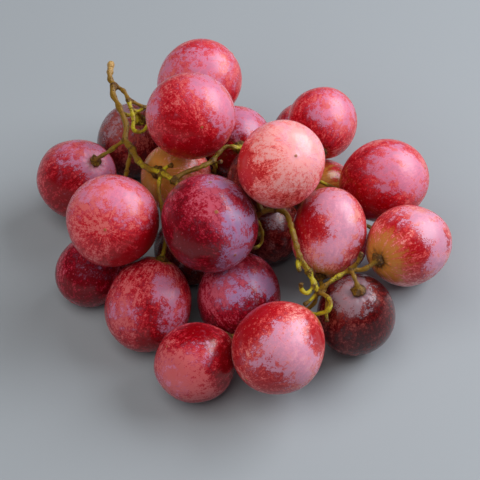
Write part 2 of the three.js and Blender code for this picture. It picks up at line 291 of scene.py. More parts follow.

# What each berry looks like: its skin, and where the skin is deep, pale or covered with bloom. The deep
# patches are partly darker skin and partly painted shade on the undersides and on the sides in shadow. The
# bloom patches are partly powder and partly a painted sheen and highlight of the window on the upper
# right.
# A patch is (right, top, degrees, strength) as seen from the front, and a mark, which is a small dry
# speck, is (right, top, degrees). The scar is opposite the pedicel unless it says where it is seen.
# tan is how far the unripe skin reaches from the pedicel, in degrees, and cracks how cracked it is.
LOOKS = {
    "crown_back": {
        "skin": "red", "bloom": [(0.3, 0.3, 45, 0.7), (-0.8, 0.2, 40, 0.6)],
        "deep": [(-0.2, 0.6, 25, 0.4), (0.3, -0.7, 35, 0.5)],
    },
    "crown": {
        "skin": "red", "scar": (0.28, -0.31),
        "bloom": [(0.45, 0.6, 38, 0.8), (-0.9, 0.2, 25, 0.6), (0.85, -0.1, 30, 0.6)],
        "deep": [(-0.1, -0.8, 42, 0.8), (-0.3, 0.3, 25, 0.2), (0.5, -0.5, 30, 0.3)],
    },
    "left_side": {
        "skin": "crimson", "bloom": [(-0.1, 0.7, 35, 0.6), (0.7, 0.2, 35, 0.9)],
        "deep": [(-0.3, -0.3, 45, 0.7)], "tan": 14,
    },
    "left_front": {
        "skin": "red", "bloom": [(0.5, 0.5, 38, 0.8), (-0.5, 0.6, 35, 0.5)],
        "deep": [(0.9, -0.3, 28, 1.2), (0.4, -0.8, 32, 0.9)], "pale": [(-0.3, 0.2, 40, 0.25)],
    },
    "centre_dark": {
        "skin": "plum", "bloom": [(0.2, 0.85, 25, 0.9), (0.6, 0.0, 28, 0.7), (0.5, -0.7, 22, 0.6)],
        "deep": [(-0.5, -0.6, 45, 1.0), (0.9, 0.3, 30, 0.9), (-0.7, 0.5, 25, 0.5)],
        "pale": [(-0.1, 0.3, 30, 0.4)],
        "marks": [(0.04, 0.83, 3.4), (0.17, 0.21, 3.0)],
    },
    "centre_pink": {
        "skin": "coral", "scar": (0.31, 0.14), "bloom": [(0.6, 0.4, 40, 0.5), (-0.3, 0.8, 30, 0.4)],
        "pale": [(0.35, 0.1, 55, 0.65)],
        "deep": [(-0.95, 0.0, 32, 1.3), (-0.35, -0.25, 14, 0.9), (0.2, -0.8, 20, 0.5),
                 (0.95, -0.3, 20, 0.6)],
    },
    "back_right": {"skin": "red", "bloom": [(0.4, 0.4, 45, 0.9)], "deep": [(-0.5, -0.4, 35, 0.7)]},
    "right_back": {
        "skin": "red", "bloom": [(0.2, 0.3, 40, 0.8), (0.7, 0.0, 30, 0.5)],
        "deep": [(-0.2, -0.8, 45, 1.0), (-0.9, 0.1, 30, 0.6)],
    },
    "right_side": {
        "skin": "pink", "bloom": [(0.5, 0.6, 35, 0.7), (0.75, -0.35, 30, 0.9), (0.0, 0.8, 30, 0.4)],
        "deep": [(0.85, 0.1, 15, 1.4), (0.1, -0.3, 30, 0.7), (-0.3, 0.6, 20, 0.8), (0.3, 0.2, 25, 0.3)],
        "tan": 46, "cracks": 0.75,
    },
    "right_middle": {
        "skin": "pink", "bloom": [(0.1, 0.75, 35, 0.9), (0.5, 0.0, 32, 0.9), (-0.1, -0.5, 24, 0.9)],
        "deep": [(-0.7, 0.4, 35, 1.2), (-0.1, -0.05, 18, 0.9), (0.9, -0.3, 30, 0.9)], "tan": 34,
    },
    "right_front": {
        "skin": "maroon", "bloom": [(-0.1, 0.5, 30, 1.1)], "deep": [(0.3, -0.3, 50, 0.6)],
        "pale": [(-0.2, -0.2, 25, 0.4)], "tan": 8,
    },
    "front_right": {
        "skin": "pink", "bloom": [(0.2, 0.3, 32, 0.7), (0.5, -0.4, 32, 0.9), (-0.4, -0.2, 26, 0.5)],
        "deep": [(-0.5, 0.75, 35, 1.0), (0.8, 0.2, 20, 1.2), (-0.2, -0.6, 30, 0.9), (-0.8, 0.2, 25, 0.5)],
        "tan": 32,
    },
    "front_left": {
        "skin": "crimson", "bloom": [(0.1, 0.35, 22, 0.4), (-0.6, -0.3, 35, 0.4)],
        "deep": [(0.0, 0.75, 32, 1.2), (0.8, 0.0, 35, 1.1)], "pale": [(-0.2, -0.2, 55, 0.7)],
        "marks": [(-0.68, 0.42, 2.2)],
    },
    "left_low": {
        "skin": "crimson",
        "bloom": [(0.45, 0.4, 22, 0.9), (0.7, -0.3, 30, 0.5), (-0.6, -0.2, 30, 0.4)],
        "deep": [(0.2, 0.0, 30, 0.4), (0.3, -0.8, 40, 0.5)], "pale": [(-0.3, 0.1, 35, 0.4)], "tan": 16,
    },
    "centre_low": {
        "skin": "plum", "bloom": [(-0.1, 0.3, 35, 0.5), (0.65, 0.3, 20, 0.8)],
        "deep": [(0.4, -0.2, 30, 0.7), (-0.2, -0.8, 40, 0.7)], "pale": [(-0.4, -0.1, 35, 0.4)],
    },
    "left_under": {"skin": "plum", "bloom": [(0.1, 0.3, 40, 0.2)], "deep": [(-0.2, -0.3, 60, 0.8)]},
    "back_left": {"skin": "maroon", "bloom": [(-0.3, 0.6, 45, 0.6)], "pale": [(0.0, 0.2, 40, 0.4)]},
    "back_centre": {"skin": "crimson", "bloom": [(0.3, 0.6, 40, 0.8)], "deep": [(-0.1, -0.4, 45, 1.0)]},
    "under_crown": {"skin": "coral", "bloom": [(0.3, 0.5, 30, 0.3)], "tan": 75},
    "centre_under": {"skin": "maroon", "bloom": [(0.1, 0.5, 30, 0.7)]},
    "back_under": {"skin": "crimson", "bloom": [], "deep": [(0.0, 0.3, 60, 0.7)], "tan": 70},
    "middle_under": {"skin": "maroon"},
    "right_under": {"skin": "crimson"},
    "right_inner": {"skin": "plum"},
    "back_low": {"skin": "crimson"},
    "inner_back": {"skin": "maroon"},
    "inner_core": {"skin": "plum"},
    "centre_inner": {"skin": "maroon"},
    "back_base": {"skin": "crimson"},
}
USUAL_TAN = 12
TAN_START = 1.3         # how tan the skin is at the pedicel, before it falls to 0.3 where tan reaches
USUAL_CRACKS = 0.3
# A berry with no bloom listed gets one broad patch on the upper right: partly powder, partly a painted
# sheen of the window.
USUAL_BLOOM_AND_SHEEN = [(0.3, 0.5, 70, 0.4)]


def put(tree, kind, inputs=None, **settings):
    """Adds a shader node, sets its options, and fills or links its inputs by name or number."""
    made = tree.nodes.new(kind)
    for option, value in settings.items():
        setattr(made, option, value)
    for socket, value in (inputs or {}).items():
        if isinstance(value, bpy.types.NodeSocket):
            tree.links.new(value, made.inputs[socket])
        else:
            made.inputs[socket].default_value = value
    return made


def maths(tree, operation, *values):
    """The result of one operation on numbers."""
    return put(tree, "ShaderNodeMath", dict(enumerate(values)), operation=operation).outputs[0]


def vector_maths(tree, operation, *values):
    """The result of one operation on vectors."""
    return put(tree, "ShaderNodeVectorMath", dict(enumerate(values)), operation=operation).outputs[0]


def value_of(tree, name, output="Fac"):
    """What add_values kept under that name."""
    return put(tree, "ShaderNodeAttribute", attribute_name=name).outputs[output]


def place_in_mm(tree, shift=(0, 0, 0)):
    """Where a point of the piece is: 1000 * its place in metres + shift."""
    place = put(tree, "ShaderNodeTexCoord").outputs["Object"]
    return vector_maths(tree, "MULTIPLY_ADD", place, (1000, 1000, 1000), shift)


def noise(tree, place, scale, detail=2.0, rough=0.55, warp=0.0):
    """Smooth random values about 0: noise from 0 to 1, less 0.5."""
    made = put(tree, "ShaderNodeTexNoise",
               {"Vector": place, "Scale": scale, "Detail": detail, "Roughness": rough, "Distortion": warp})
    return maths(tree, "SUBTRACT", made.outputs["Fac"], 0.5)


def total(tree, start, *parts):
    """start plus the sum of value times weight over the parts."""
    for value, weight in parts:
        start = maths(tree, "MULTIPLY_ADD", value, weight, start)
    return start


def shaken(tree, start, grains, **weights):
    """start plus the sum of grain times weight over the named grains."""
    return total(tree, start, *[(grains[name], weight) for name, weight in weights.items()])


def ramp(tree, value, low, high):
    """0 below low and 1 above high, with a smooth step between them."""
    made = put(tree, "ShaderNodeMapRange", {"Value": value, "From Min": low, "From Max": high},
               interpolation_type="SMOOTHSTEP")
    return made.outputs["Result"]


def fall(tree, value, low, high):
    """1 below low and 0 above high, with a smooth step between them."""
    return maths(tree, "SUBTRACT", 1.0, ramp(tree, value, low, high))


def spots(tree, place, scale, core, edge):
    """Round spots at random places: 1 within core of the nearest of them, and 0 past edge."""
    cells = put(tree, "ShaderNodeTexVoronoi", {"Vector": place, "Scale": scale}).outputs["Distance"]
    return fall(tree, cells, core, edge)


def lay_over(tree, colour, mask, over, most=1.0):
    """colour + most * mask * (over - colour). Inputs 6 and 7 of the node are its two colours."""
    share = maths(tree, "MULTIPLY", mask, most) if most < 1 else mask
    return put(tree, "ShaderNodeMix", {0: share, 6: colour, 7: over}, data_type="RGBA").outputs[2]


def meridian_place(tree, shift):
    """A place that changes fast round the axis and slowly along it, so that noise on it is streaky.

    On the ball (x, y, z) it is (x, y) / |(x, y)|, and 0.35 z, plus shift."""
    x, y, z = put(tree, "ShaderNodeSeparateXYZ", {0: value_of(tree, "ball", "Vector")}).outputs
    round_axis = put(tree, "ShaderNodeCombineXYZ", {0: x, 1: y}).outputs[0]
    round_axis = vector_maths(tree, "NORMALIZE", round_axis)
    lift = put(tree, "ShaderNodeCombineXYZ", {2: maths(tree, "MULTIPLY", z, 0.35)}).outputs[0]
    return vector_maths(tree, "ADD", vector_maths(tree, "ADD", round_axis, lift), shift)


def skin_grains(tree, in_mm, meridian):
    """Random values about 0, from slow mottling to fine grain, and streaks along the meridians."""
    return {
        "slow": noise(tree, in_mm, scale=0.13, detail=2.0, rough=0.55, warp=0.3),
        "middling": noise(tree, in_mm, scale=0.34, detail=3.0, rough=0.55, warp=0.4),
        "fine": noise(tree, in_mm, scale=1.1, detail=3.0, rough=0.65),
        "grain": noise(tree, in_mm, scale=3.0, detail=2.0, rough=0.6),
        "streak": noise(tree, meridian, scale=9.0, detail=3.0, rough=0.65),
    }


def ripe_skin_and_painted_shade(tree, given, grains, in_mm):
    """Skin between pale, ripe and deep, as its patches and grains say, and the pale dots on it. Where the
    deep patches lie on the undersides and on the shadowed sides, the deep colour is painted shade;
    elsewhere it is darker skin.
    """
    depth_and_shade = shaken(tree, value_of(tree, "deep"), grains,
                   slow=1.4, middling=2.2, streak=2.4, fine=2.9, grain=2.2)
    depth_and_shade = total(tree, depth_and_shade, (value_of(tree, "pale"), -1.0))
    colour = lay_over(tree, given["ripe"], ramp(tree, depth_and_shade, 0.05, 0.65), given["deep"])
    paleness = ramp(tree, maths(tree, "MULTIPLY", depth_and_shade, -1.0), 0.0, 0.65)
    colour = lay_over(tree, colour, paleness, given["pale"])
    dot = spots(tree, in_mm, scale=0.62, core=0.07, edge=0.20)
    return lay_over(tree, colour, dot, given["pale"], most=0.4), dot


def unripe_skin(tree, colour, grains, meridian):
    """colour with the tan skin round the pedicel laid over it, and the cracks in that."""
    unripe = shaken(tree, value_of(tree, "tan"), grains, middling=0.7, streak=1.6, fine=0.8)
    colour = lay_over(tree, colour, ramp(tree, unripe, 0.2, 0.9), TAN)
    split = noise(tree, meridian, scale=5.0, detail=3.0, rough=0.7)
    crack = total(tree, value_of(tree, "crack"), (split, 2.4), (grains["fine"], 0.9))
    crack = ramp(tree, crack, 0.62, 0.95)
    return lay_over(tree, colour, crack, CRACK, most=0.85), crack


def bloom_and_painted_sheen(tree, colour, powder, grains, in_mm):
    """colour under its bloom, a thin film with thicker patches and rubbed lines, and its thickness. The
    bloom is partly powder and partly a painted sheen and highlight of the window, where its patches lie on
    the upper right.

    A rubbed line runs where a slow, warped noise crosses 0."""
    bloom = value_of(tree, "bloom")
    uneven = shaken(tree, 0.0, grains, slow=1.2, middling=2.4, streak=0.8, fine=1.5, grain=1.2)
    spread = maths(tree, "MULTIPLY_ADD", ramp(tree, bloom, 0.0, 0.5), 0.6, 0.4)
    bloom_and_sheen_cover = total(tree, bloom, (uneven, spread))
    rub = maths(tree, "ABSOLUTE", noise(tree, in_mm, scale=0.30, detail=2.0, rough=0.6, warp=1.2))
    bloom_and_sheen_cover = total(tree, bloom_and_sheen_cover, (fall(tree, rub, 0.0, 0.022), -0.30))
    film = ramp(tree, bloom_and_sheen_cover, 0.10, 0.80)
    patches = ramp(tree, bloom_and_sheen_cover, 0.38, 0.68)
    thickness = total(tree, 0.0, (film, 0.30), (patches, 0.26))
    return lay_over(tree, colour, thickness, powder), thickness


def marked_skin(tree, colour, grains):
    """colour with its dry specks and scar, and where they are."""
    mark = ramp(tree, shaken(tree, value_of(tree, "mark"), grains, fine=0.5), 0.45, 0.75)
    return lay_over(tree, colour, mark, SPECK, most=0.9), mark


def make_skin_pattern():
    """The pattern that all berries share, as a node group: colour, roughness and height in mm."""
    tree = bpy.data.node_groups.new("berry skin pattern", "ShaderNodeTree")
    for tone in TONES:
        tree.interface.new_socket(tone, in_out="INPUT", socket_type="NodeSocketColor")
    tree.interface.new_socket("shift", in_out="INPUT", socket_type="NodeSocketVector")
    tree.interface.new_socket("colour", in_out="OUTPUT", socket_type="NodeSocketColor")
    tree.interface.new_socket("roughness", in_out="OUTPUT", socket_type="NodeSocketFloat")
    tree.interface.new_socket("height", in_out="OUTPUT", socket_type="NodeSocketFloat")
    given = tree.nodes.new("NodeGroupInput").outputs
    in_mm = place_in_mm(tree, given["shift"])
    meridian = meridian_place(tree, given["shift"])
    grains = skin_grains(tree, in_mm, meridian)
    # Besides the skin's own colours, the colour holds painted shade in its deep skin and a painted sheen
    # in its bloom.
    colour, dot = ripe_skin_and_painted_shade(tree, given, grains, in_mm)
    colour, crack = unripe_skin(tree, colour, grains, meridian)
    colour, bloom = bloom_and_painted_sheen(tree, colour, given["bloom"], grains, in_mm)
    colour, mark = marked_skin(tree, colour, grains)
    rough = total(tree, 0.20, (bloom, 0.26), (mark, 0.3), (crack, 0.2))
    rough = shaken(tree, rough, grains, middling=0.1)
    height = shaken(tree, 0.0, grains, fine=0.05, middling=0.08)
    height = total(tree, height, (dot, -0.015), (mark, 0.06), (crack, -0.05))
    leaving = tree.nodes.new("NodeGroupOutput").inputs
    tree.links.new(colour, leaving["colour"])
    tree.links.new(rough, leaving["roughness"])
    tree.links.new(height, leaving["height"])
    return tree


SKIN_PATTERN = make_skin_pattern()
SKIN_FINISH = {
    "Subsurface Weight": 0.35, "Subsurface Radius": (1.0, 0.25, 0.2), "Subsurface Scale": 2.5 * MM,
    "IOR": 1.44, "Sheen Weight": 0.02, "Sheen Roughness": 0.45, "Sheen Tint": (0.85, 0.75, 1.0, 1),
}


def new_material(name, finish):
    """A material with that finish on its shader: the material, its node tree and the shader's inputs."""
    material = bpy.data.materials.new(name)
    material.use_nodes = True
    sockets = material.node_tree.nodes["Principled BSDF"].inputs
    for socket, value in finish.items():
        sockets[socket].default_value = value
    return material, material.node_tree, sockets


def link_surface(tree, sockets, colour, rough, height):
    """Gives a shader its colour, its roughness and its relief, from a height in mm."""
    relief = put(tree, "ShaderNodeBump", {"Height": height, "Distance": MM, "Strength": 1.0})
    tree.links.new(colour, sockets["Base Color"])
    tree.links.new(rough, sockets["Roughness"])
    tree.links.new(relief.outputs["Normal"], sockets["Normal"])


def skin_material(name, look):
    """Waxy skin over flesh that light enters: a slightly clear gloss with the shared pattern.

    The pattern is shifted by a seeded random distance, so that no two berries show the same part."""
    material, tree, sockets = new_material(f"skin {name}", SKIN_FINISH)
    group = tree.nodes.new("ShaderNodeGroup")
    group.node_tree = SKIN_PATTERN
    for tone in TONES:
        group.inputs[tone].default_value = (*SKINS[look["skin"]][tone], 1)
    rng = np.random.default_rng(zlib.crc32(name.encode()))
    group.inputs["shift"].default_value = rng.uniform(-90, 90, 3)
    link_surface(tree, sockets, *group.outputs)
    return material


berry_stem = node_points("stem")
berries = {name: berry_axes(f"berry_{name}", berry_stem) for name in LOOKS}


def press_planes(name):
    """The planes that a berry is pressed against: halfway across each small gap to a neighbour."""
    planes = []
    for other, berry in berries.items():
        if other == name:
            continue
        apart = berry.middle - berries[name].middle
        span = np.linalg.norm(apart)
        normal = apart / span
        near, far = reach(berries[name], normal), reach(berry, -normal)
        gap = span - near - far
        if gap < PRESS_RANGE:
            planes.append((normal, near + gap / 2 - PRESS_GAP))
    return planes


def grape_mesh(name, look):
    """A berry's skin as a closed mesh, with the values that its material reads at each point."""
    berry = berries[name]
    scar = seen(*look["scar"]) if "scar" in look else -berry.axis
    points, outward = berry_skin(name, berry, press_planes(name), scar)
    from_scar = angle_to(outward, scar)
    mesh = bpy.data.meshes.new(f"grape_{name}")
    mesh.from_pydata(points, [], BERRY_FACES)
    mesh.polygons.foreach_set("use_smooth", np.ones(len(mesh.polygons), bool))
    on_ball = outward @ np.stack([*frame_round(scar), scar]).T
    bloom = cover(outward, look.get("bloom", USUAL_BLOOM_AND_SHEEN))
    deep = cover(outward, look.get("deep", []))
    pale = cover(outward, look.get("pale", [])) + bump(from_scar, *SCAR_PALE)
    marks = bump(from_scar, *SCAR_SPECK) + cover(outward, [(*mark, 1.0) for mark in look.get("marks", [])])
    add_values(mesh, "ball", on_ball, "FLOAT_VECTOR")
    # bloom is partly powder and partly a painted sheen and highlight of the window; deep is partly darker
    # skin and partly painted shade, where the patches lie.
    add_values(mesh, "bloom", bloom + hidden_side(outward, f"{name} bloom", 0.5))
    add_values(mesh, "deep", deep + hidden_side(outward, f"{name} deep", 0.6))
    add_values(mesh, "pale", pale + hidden_side(outward, f"{name} pale", 0.5))
    add_values(mesh, "tan", TAN_START - FROM_STEM / math.radians(look.get("tan", USUAL_TAN)))
    add_values(mesh, "mark", marks)
    add_values(mesh, "crack", look.get("cracks", USUAL_CRACKS) * bump(FROM_STEM, *CRACKS))
    return mesh


def in_scene(name, data):
    """A new object of the scene that holds a mesh, a light or a camera."""
    made = bpy.data.objects.new(name, data)
    bpy.context.scene.collection.objects.link(made)
    return made


for name, look in LOOKS.items():
    grape = in_scene(f"grape_{name}", grape_mesh(name, look))
    grape.data.materials.append(skin_material(name, look))
    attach(grape, "root")
    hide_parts(f"berry_{name}")


# ---------------------------------------------------------------------------------------------
# Stalks. One woody stem with its side branches, the pedicels that each end in a flared warty pad on
# a berry, and stubs that have lost theirs. It grew as one piece, so its tubes are joined into one
# skin. It is ridged and knobbly, olive to yellow-green, and dried brown at the nodes and pads.

# Lengths are in mm, and shares are of a stem's radius.
MIDDLE = np.array([-0.9, -10.6, 0.0])   # middle of the bunch on the surface, in the routes' own numbers
PATH_STEP = 0.4         # between the rings of a tube
CURVE_STEPS = 30        # points between two places of a route
TUBE_SIDES = 20
JOIN_SIZE = 0.24        # the grain at which the tubes are joined into one skin
SLIMNESS = 0.80         # the wood between two nodes is thinner than the frame's tube
NODE_SWELLING = 0.60    # share, where a stem leaves another
CUT_SWELLING = 0.15     # share, at the cut end
KNOB_HEIGHT = 0.085     # share, of each of the slow waves along a stem
KNOB_COUNT = 3
PAD_RADIUS = 2.1
PAD_THICKNESS = 1.3
PAD_SHOULDER = 0.2      # how softly a pad narrows into its pedicel
PAD_SEAT = 0.35         # how deep a pad sits in the berry's pit
PAD_RING_HEIGHT = 0.18  # warty rings round a pad
PAD_RING_STEP = 0.9
PAD_RIM = 0.8           # share, to which the last ring of a pad is drawn in
SEAT_RISE = 1.2         # a pedicel is straight for this long before its seat
STUB_REACH = 1.2        # the torn end of a stub
STUB_FLARE = 0.35       # share, by which a stub widens at its torn end
STUB_RIM = 0.75         # share, to which its last ring is drawn in
STUB_HOLLOW = 0.35      # how deep a torn end is
END_DOME = 0.05         # how far the other ends stand out
DRY_REACH = 9.0         # how far the cut end of the stem has dried out
BROWN_START = 1.4       # how far the brown of a node reaches along a stem
BROWN_END = 1.9         # how far the brown of a pad or a torn end reaches back
CUT_BROWN = 0.2         # how brown the cut end is, where a node is 1
CUT_FRESH = 0.3         # how fresh the stem is past the part that has dried out
STUB_FRESH = 0.4        # how much fresher a stub is, most of all at STUB_GREEN from its end
STUB_GREEN = 1.6
STUB_GREEN_REACH = 1.5

# Ridges round a stem: their height as a share, how many there are, and their turn in radians per mm.
RIDGES = (0.08, 5, 0.25)
SMALL_RIDGES = (0.05, 3, -0.4)
PAD_RIDGES = (0.10, 6, 3.5)

NODES = {
    "tip": (-38.2, 26.5, 40.5), "upper": (-33.8, 20.7, 40), "back": (-35.5, 15.5, 39),
    "side": (-34, 6, 37), "front": (-32, 2, 37), "under": (-29.5, -4, 37.5), "low": (-23, -9.5, 38.5),
    "left": (-19.5, -12, 38), "arm": (-8.2, -2.4, 36), "dip": (-8, -12, 28), "deep": (0, -16, 27),
    "rise": (4.5, -20, 31), "pink": (6.3, -21.2, 34), "arch": (10, -20, 34.5),
    "right": (22.2, -43.5, 24.5), "fork": (31.2, -38.5, 28.3),
}

# Each stem: its radius and the places that it passes, by a node's name or as x, y, z.
CUT_END = (1.15, [(-39.5, 35, 42), (-39.5, 28.5, 41), "tip"])
BRANCHES = [
    (1.1, ["tip", (-38.5, 23, 40), (-37, 19.5, 39.5), "back", (-34, 11, 38), "side", "front"]),
    (1.1, ["front", "under", (-26.5, -7.5, 38), "low", "left"]),
    (1.05, ["left", (-14, -10, 33), "dip", "deep", "rise", "pink", "arch"]),
    (1.0, ["arch", (13, -22.5, 35), (15, -31, 36), (17, -37, 32), (19.2, -39.2, 29)]),
    (1.05, [(19.2, -39.2, 29), (21.2, -42.2, 26), "right"]),
    (0.8, ["tip", (-35.2, 23.7, 40.5), "upper"]),
    (0.9, ["left", (-16, -9, 38), (-11.7, -5.7, 37), "arm"]),
    (0.9, ["right", (24.5, -42.5, 26.5), (27, -40.8, 27.3), "fork"]),
]
STUBS = [
    (0.75, ["fork", (33.3, -38, 31), (34.4, -37, 34)]),
    (0.8, [(21.2, -42.2, 26), (19, -44.5, 25), (17.5, -44.2, 26), (17.2, -43.2, 28)]),
    (0.65, [(24.8, -46, 25), (24.4, -48.2, 22), (24.6, -50, 19)]),
    (0.7, ["right", (20, -45.2, 23), (18, -46.7, 22.5)]),
    (0.65, [(17, -37, 32), (16.2, -38.3, 31), (17, -40.5, 29.5)]),
    (0.65, ["rise", (6.5, -22, 26), (6, -24, 23.5), (3.5, -26.5, 24)]),
    (0.75, ["low", (-21, -8.5, 40), (-19.5, -9, 41)]),
    (0.65, [(-32.8, 17.3, 39), (-30.5, 17, 38.5), (-28.5, 18, 39.5)]),
    (0.65, ["arm", (-6.5, -3.2, 36.5), (-5.3, -3.8, 37.5)]),
]
PEDICELS = {
    "crown_back": (0.7, ["upper", (-30, 19.5, 38.5), (-27.5, 22, 35), (-25.5, 26, 31)]),
    "crown": (0.75, ["upper", (-32.8, 17.3, 39), (-32, 14.5, 38), (-31.5, 9, 38), (-29, 8, 38.5),
                     (-27, 10, 40)]),
    "left_side": (0.8, ["side", (-36.3, 4.8, 36), (-39.4, 4.9, 33), (-42, 6, 30)]),
    "left_front": (0.8, ["front", (-33.5, -2, 32), (-34.5, -7, 27)]),
    "centre_dark": (0.85, ["left", (-18.2, -13, 37)]),
    "centre_pink": (0.8, ["pink", (5.3, -19, 36)]),
    "back_right": (0.85, ["arch", (15, -15, 33), (19, -10, 31), (22, -2, 28.5), (23, 4, 27)]),
    "right_back": (0.75, [(22, -2, 28.5), (25.5, -0.5, 25), (29, 0.8, 21.3)]),
    "right_side": (0.85, ["fork", (35.2, -38.7, 28.8)]),
    "right_middle": (0.8, ["right", (23.8, -43.6, 25), (24, -41.8, 24.3), (23.5, -39.8, 22.8)]),
    "right_front": (0.85, ["fork", (31.9, -41, 29.3), (32.5, -43, 28.8)]),
    "front_right": (0.8, ["right", (24.8, -46, 25), (25.6, -47.8, 24.8), (24.8, -49.6, 23.5)]),
    "front_left": (0.7, ["right", (21, -44, 20), (17, -44.6, 16.5), (11, -45.2, 15), (4, -48.6, 13.5)]),
    "left_low": (0.8, ["low", (-23.6, -14, 36), (-22.8, -17.3, 33), (-22.2, -20.6, 29),
                       (-21.5, -24.5, 26.5)]),
    "centre_low": (0.7, ["deep", (-1, -15.5, 20), (-0.8, -18, 15.5)]),
    "left_under": (0.7, [(-33.5, -2, 32), (-35, -4.5, 23), (-36.5, -8.5, 18)]),
    "back_left": (0.75, ["back", (-33.5, 20, 34), (-31.5, 25.5, 30)]),
    "back_centre": (0.85, ["arm", (-6.5, -0.5, 37.5), (-4, 1.5, 38.5), (-1, 1.5, 38)]),
    "under_crown": (0.85, ["under", (-26.5, -5.5, 36.5)]),
    "centre_under": (0.75, ["rise", (4.2, -19, 24), (4.5, -16, 20)]),
    "back_under": (0.7, [(23, 4, 27), (21.5, 3.8, 22)]),
    "middle_under": (0.7, [(-22.8, -17.3, 33), (-21.5, -16, 29), (-20, -14.5, 25)]),
    "right_under": (0.7, [(24, -11, 27.5), (30, -12.5, 24), (37, -13, 20.5)]),
    "right_inner": (0.75, [(19, -10, 31), (24, -11, 27.5), (26.2, -11, 24)]),
    "back_low": (0.75, [(22, -2, 28.5), (17.5, 4, 25.5), (14, 12, 24), (13.5, 20, 22), (15.5, 26, 19)]),
    "inner_back": (0.75, ["arm", (-7.3, 1, 31), (-7.8, 4.2, 25.5), (-7.6, 6.5, 22), (-7.2, 9, 19.3)]),
    "inner_core": (0.7, [(14, 12, 24), (12.8, 15.5, 21.5)]),
    "centre_inner": (0.75, ["dip", (-3.5, -14.2, 28)]),
    "back_base": (0.7, [(-25.5, 26, 31), (-24.5, 30, 26), (-22, 34, 22)]),
}


def places(route):
    """The places of a route in mm from the middle of the bunch."""
    return np.array([NODES[place] if isinstance(place, str) else place for place in route]) - MIDDLE


def all_stems():
    """The places, the radius and the ending of each stem. A pedicel ends straight in its berry's pit."""
    stems = [(places(CUT_END[1]), CUT_END[0], "cut")]
    stems += [(places(route), radius, "joined") for radius, route in BRANCHES]
    stems += [(places(route), radius, "stub") for radius, route in STUBS]
    for name, (radius, route) in PEDICELS.items():
        middle, _, half_length, axis = berries[name]
        seat = (middle + axis * half_length) / MM - PAD_SEAT * axis
        stems.append((np.vstack([places(route), seat + SEAT_RISE * axis, seat]), radius, "pad"))
    return stems


def between(first, second, low, high, t):
    """The place at parameter t on the line that is at first when t is low and at second when high."""
    return ((high - t) * first + (t - low) * second) / (high - low)


def smooth_path(points):
    """A smooth curve through the points, and the distance along it, in even steps.

    Between two points it is the centripetal Catmull-Rom curve, by blending straight lines."""
    ends = np.vstack([2 * points[0] - points[1], points, 2 * points[-1] - points[-2]])
    knots = np.concatenate([[0], np.cumsum(np.linalg.norm(np.diff(ends, axis=0), axis=1) ** 0.5)])
    curve = []
    for i in range(1, len(ends) - 2):
        before, start, stop, after = knots[i - 1:i + 3]
        t = np.linspace(start, stop, CURVE_STEPS, endpoint=False)[:, None]
        line_in = between(ends[i - 1], ends[i], before, start, t)
        line_on = between(ends[i], ends[i + 1], start, stop, t)
        line_out = between(ends[i + 1], ends[i + 2], stop, after, t)
        bend_in = between(line_in, line_on, before, stop, t)
        bend_out = between(line_on, line_out, start, after, t)
        curve.append(between(bend_in, bend_out, start, stop, t))
    curve = np.vstack([*curve, points[-1:]])
    along = np.concatenate([[0], np.cumsum(np.linalg.norm(np.diff(curve, axis=0), axis=1))])
    even = np.linspace(0, along[-1], max(4, round(along[-1] / PATH_STEP) + 1))
    return np.stack([np.interp(even, along, curve[:, k]) for k in range(3)], axis=1), even


def spokes_along(path, phi):
    """Unit spokes at the angles phi round each place of a path, carried along it without a twist.

    A spoke is cos phi * across + sin phi * beside, and both are at right angles to the path."""
    ahead = np.gradient(path, axis=0)
    ahead /= np.linalg.norm(ahead, axis=1)[:, None]
    across = [np.cross(path[1] - path[0], [0.31, 0.52, 0.79])]
    for direction in ahead:
        square = across[-1] - (across[-1] @ direction) * direction
        across.append(square / np.linalg.norm(square))
    across = np.array(across[1:])
    beside = np.cross(ahead, across)
    return np.cos(phi)[:, None] * across[:, None] + np.sin(phi)[:, None] * beside[:, None]


def stalk_width(s, left, radius, ending, rng):
    """Half width of a stem, s after its start and left before its end, and how much of it is pad.

    It is SLIMNESS * radius * (1 + node + knobs), with node = swelling * exp(-(s / 1.2 radius)^2) and
    three random sine waves as knobs. A pad widens it by 1 / (1 + exp((left - thickness) / shoulder)),
    with rings cos(2 pi left / step), and a torn stub by exp(-(left / reach)^2)."""
    swelling = CUT_SWELLING if ending == "cut" else NODE_SWELLING
    node = swelling * np.exp(-((s / (1.2 * radius)) ** 2))
    knobs = sum(KNOB_HEIGHT * np.sin(s * rng.uniform(0.6, 2.6) + rng.uniform(0, 6))
                for _ in range(KNOB_COUNT))
    size = SLIMNESS * radius * (1 + node + knobs)
    flare = np.zeros(len(s))
    if ending == "pad":
        flare = 1 / (1 + np.exp((left - PAD_THICKNESS) / PAD_SHOULDER))
        size += (PAD_RADIUS * rng.uniform(0.9, 1.1) - size) * flare
        size += PAD_RING_HEIGHT * np.cos(2 * math.pi * left / PAD_RING_STEP) * flare
        size[-1] *= PAD_RIM
    elif ending == "stub":
        size *= 1 + STUB_FLARE * np.exp(-((left / STUB_REACH) ** 2))
        size[-1] *= STUB_RIM
    return size, flare


def stalk_tones(s, left, ending, rng):
    """How brown a stem is, from 0 to 1, and how fresh, from -1 where it is dry to 1 where it is green.

    Both fade with exp(-(distance / reach)^2) from a node, a pad or a torn end."""
    brown = np.exp(-((s / BROWN_START) ** 2))
    fresh = np.full(len(s), rng.uniform(0, 1))
    if ending == "cut":
        return CUT_BROWN * brown, np.minimum(CUT_FRESH, s / DRY_REACH - 1)
    if ending in ("stub", "pad"):
        brown = np.maximum(brown, np.exp(-((left / BROWN_END) ** 2)))
    if ending == "stub":
        fresh += STUB_FRESH * np.exp(-(((left - STUB_GREEN) / STUB_GREEN_REACH) ** 2))
    return brown, fresh


def ridges_round(phi, along, start, height, count, turn):
    """Ridges at the angles phi and each distance along: height * cos(count phi + turn along + start)."""
    return height * np.cos(count * phi + turn * along[:, None] + start)


